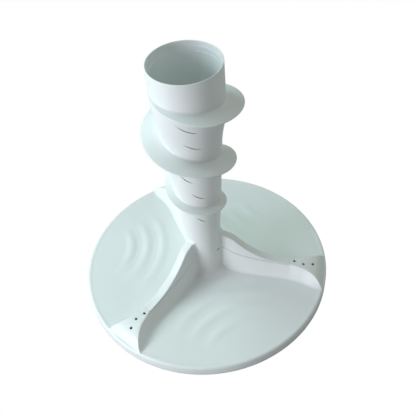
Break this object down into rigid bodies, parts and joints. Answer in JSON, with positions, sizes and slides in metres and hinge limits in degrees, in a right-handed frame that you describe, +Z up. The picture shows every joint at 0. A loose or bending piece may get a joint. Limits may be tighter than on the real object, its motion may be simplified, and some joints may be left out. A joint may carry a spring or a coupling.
{
  "type": "washing machine agitator",
  "caption": "Dual-action washer agitator: rippled wash plate with three humped vanes, hollow column and a helical-finned auger with an open cup on a one-way clutch.",
  "frame": {"origin": "centre of the wash plate's underside, in the plane of its rim's lower edge, on the drive axis", "axes": "+Z up along the drive axis towards the open cup; one vane lies 15.3 degrees clockwise of +X, seen from above"},
  "size_m": [0.45, 0.45, 0.462],
  "materials": {
    "plate_plastic": "satin moulded polypropylene, white with a faint mint tint",
    "white_plastic": "satin moulded polypropylene, cool white",
    "inner_plastic": "plain moulded acetal, off-white",
    "dog_plastic": "plain moulded acetal, tan",
    "block_plastic": "glass-filled nylon, dark grey",
    "steel": "zinc-plated",
    "rubber": "smooth black elastomer"
  },
  "bodies": {
    "base": {"wash_plate": "plate_plastic", "agitator_base": "white_plastic", "thrust_ring": "inner_plastic", "drive_block": "block_plastic", "clutch_cam": "inner_plastic", "dog_retainer": "inner_plastic", "bolt_seal": "rubber", "bolt_washer": "steel", "hub_bolt": "steel", "plate_screw_1": "steel", "plate_screw_2": "steel", "plate_screw_3": "steel", "plate_screw_4": "steel", "plate_screw_5": "steel", "plate_screw_6": "steel"},
    "auger": {"auger": "white_plastic", "inner_cap_seal": "rubber", "inner_cap": "white_plastic"},
    "dog_1": {"clutch_dog_1": "dog_plastic"},
    "dog_2": {"clutch_dog_2": "dog_plastic"},
    "dog_3": {"clutch_dog_3": "dog_plastic"},
    "dog_4": {"clutch_dog_4": "dog_plastic"}
  },
  "joints": [
    {"name": "auger_turn", "type": "hinge", "parent": "base", "child": "auger", "pos_m": [0, 0, 0.19], "axis": [0, 0, 1], "continuous": true},
    {"name": "dog_1_swing", "type": "hinge", "parent": "base", "child": "dog_1", "pos_m": [0.026, 0, 0.311], "axis": [0, 0, 1], "range_deg": [-28, 0]},
    {"name": "dog_2_swing", "type": "hinge", "parent": "base", "child": "dog_2", "pos_m": [0, 0.026, 0.311], "axis": [0, 0, 1], "range_deg": [-28, 0]},
    {"name": "dog_3_swing", "type": "hinge", "parent": "base", "child": "dog_3", "pos_m": [-0.026, 0, 0.311], "axis": [0, 0, 1], "range_deg": [-28, 0]},
    {"name": "dog_4_swing", "type": "hinge", "parent": "base", "child": "dog_4", "pos_m": [0, -0.026, 0.311], "axis": [0, 0, 1], "range_deg": [-28, 0]}
  ],
  "couplings": [
    {"joint": "dog_2_swing", "follows": "dog_1_swing", "ratio": 1},
    {"joint": "dog_3_swing", "follows": "dog_1_swing", "ratio": 1},
    {"joint": "dog_4_swing", "follows": "dog_1_swing", "ratio": 1}
  ]
}
